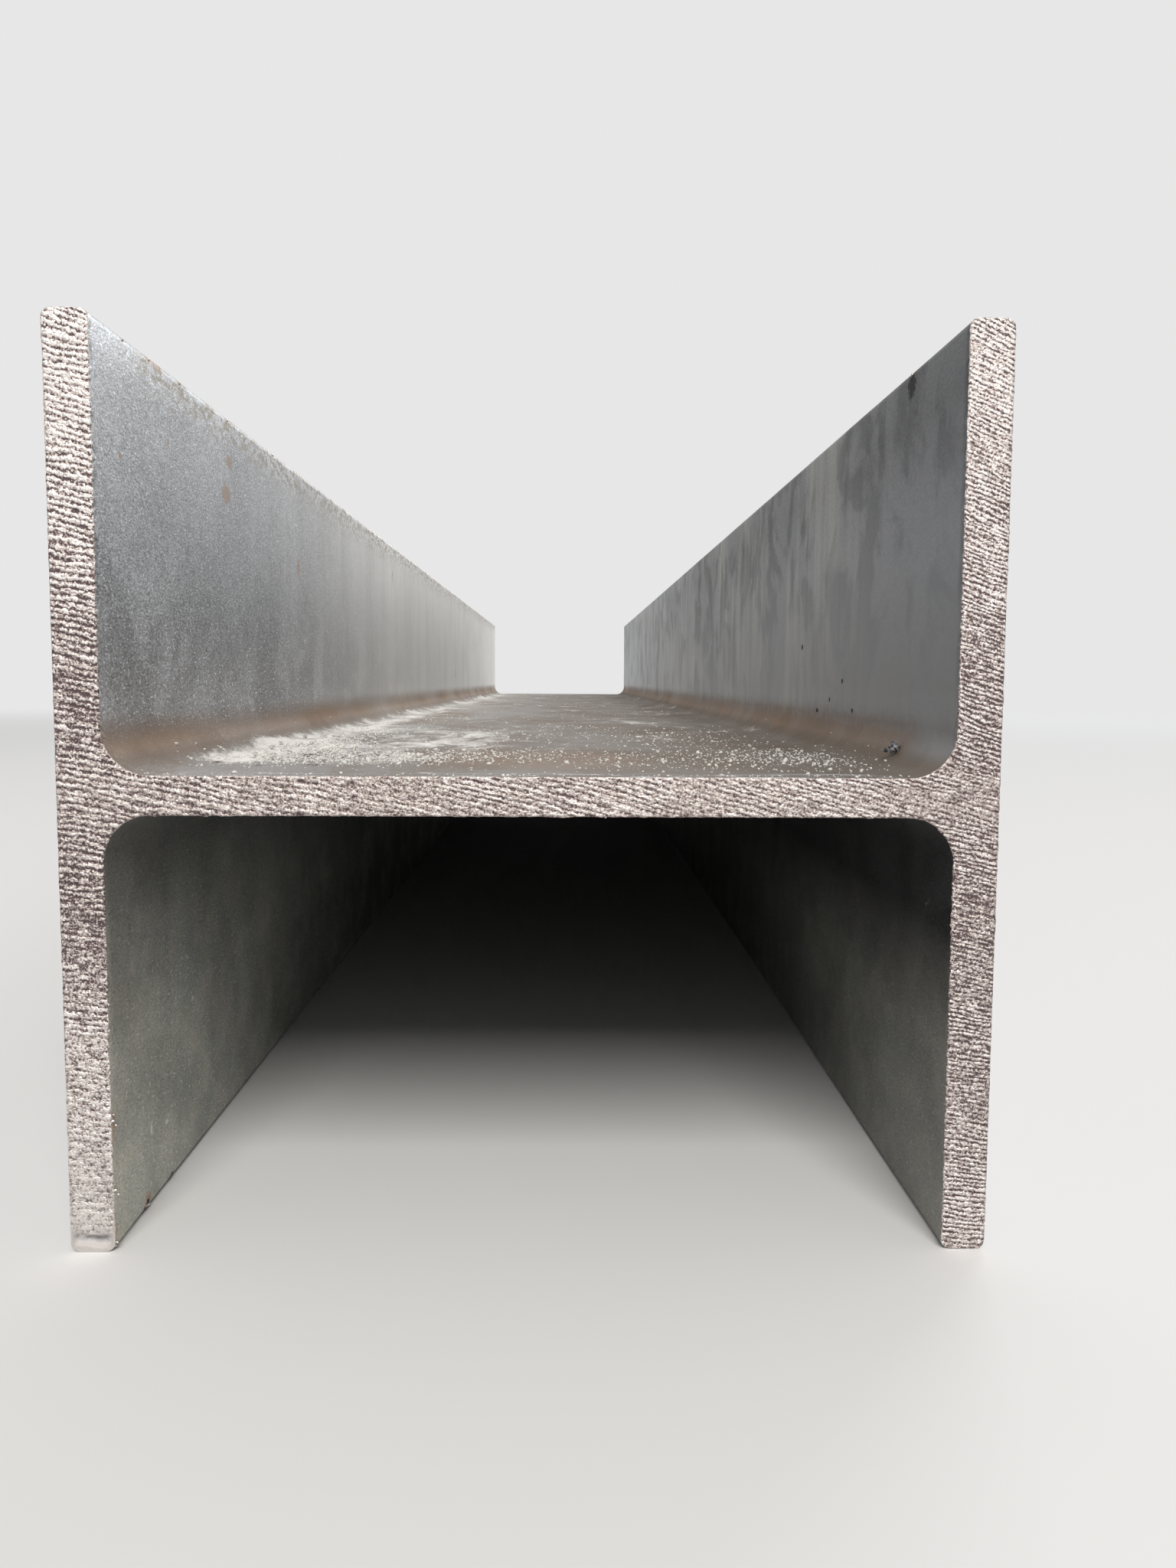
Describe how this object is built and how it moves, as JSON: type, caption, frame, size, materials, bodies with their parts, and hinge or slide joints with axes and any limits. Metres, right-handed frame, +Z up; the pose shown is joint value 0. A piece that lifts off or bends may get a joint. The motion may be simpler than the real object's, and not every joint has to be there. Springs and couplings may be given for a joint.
{
  "type": "steel i-beam",
  "caption": "Length of galvanised wide flange steel section, sawn square at both ends, lying with its web level and its flanges upright.",
  "frame": {"origin": "on the floor under the middle of the length, midway between the two flanges, as the beam lies on its lower flange toes", "axes": "+X across the section from the left flange to the right flange, +Y along the length away from the end that the picture shows, +Z up, square to the web"},
  "size_m": [0.1524, 1.1, 0.1522],
  "materials": {
    "galvanised_steel": "dull hot dip galvanised, bright coarse saw marks on the ends"
  },
  "bodies": {
    "root": {"h_beam": "galvanised_steel"}
  },
  "joints": []
}
